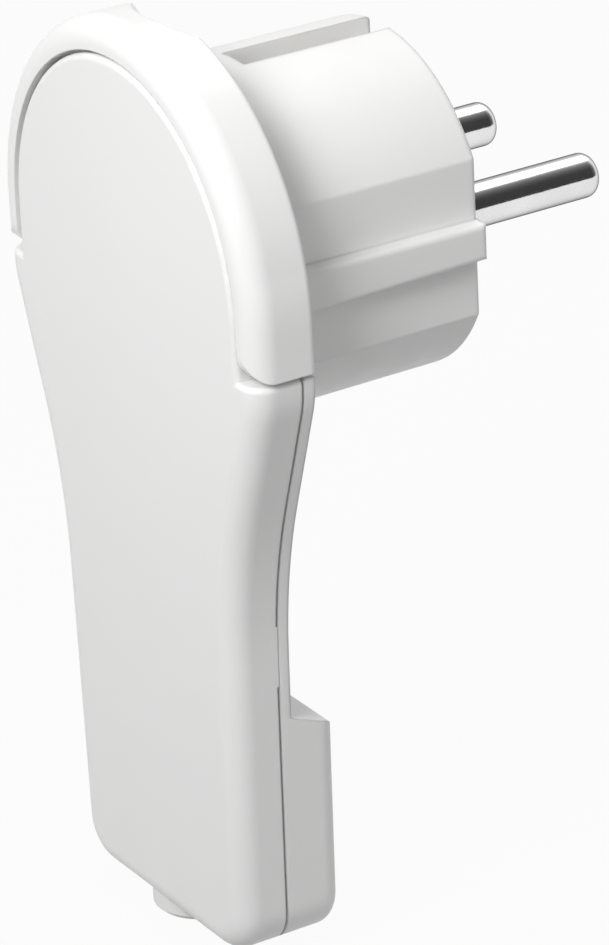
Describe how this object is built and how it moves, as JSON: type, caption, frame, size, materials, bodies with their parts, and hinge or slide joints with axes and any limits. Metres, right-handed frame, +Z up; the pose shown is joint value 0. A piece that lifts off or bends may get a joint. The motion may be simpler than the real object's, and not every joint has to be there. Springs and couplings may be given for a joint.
{
  "type": "flat angled plug",
  "caption": "Flat angled mains plug with round pins, side earth contacts, a keyhole-shaped body, a hinged horseshoe pull bail and a cord outlet at the foot.",
  "frame": {"origin": "centre of the engagement face, midway between the contact pins", "axes": "+Y along the contact pins into the wall, +Z up, +X to the right as seen from the room"},
  "size_m": [0.0504, 0.051, 0.1012],
  "materials": {
    "cover_plastic": "satin white",
    "shell_plastic": "satin white",
    "bail_plastic": "polished white",
    "bushing_plastic": "satin white",
    "inner_plastic": "matt light grey",
    "pin_nickel": "bright nickel plate",
    "earth_metal": "nickel-plated spring strip",
    "terminal_brass": "turned brass",
    "screw_steel": "zinc-plated steel"
  },
  "bodies": {
    "plug": {"front_cover": "cover_plastic", "rear_shell": "shell_plastic", "contact_pin_left": "pin_nickel", "contact_pin_right": "pin_nickel", "terminal_screw_left": "screw_steel", "terminal_screw_right": "screw_steel", "pin_bridge": "inner_plastic", "bridge_screw_upper": "screw_steel", "bridge_screw_lower": "screw_steel", "earth_bow": "earth_metal", "earth_terminal": "terminal_brass", "earth_screw": "screw_steel", "cord_clamp": "inner_plastic", "clamp_screw_left": "screw_steel", "clamp_screw_right": "screw_steel", "cord_bushing": "bushing_plastic", "cover_screw": "screw_steel"},
    "bail": {"pull_bail": "bail_plastic", "pivot_pin_left": "screw_steel", "pivot_pin_right": "screw_steel"}
  },
  "joints": [
    {"name": "bail_swing", "type": "hinge", "parent": "plug", "child": "bail", "pos_m": [0, -0.0295, -0.003], "axis": [1, 0, 0], "range_deg": [0, 95]}
  ]
}
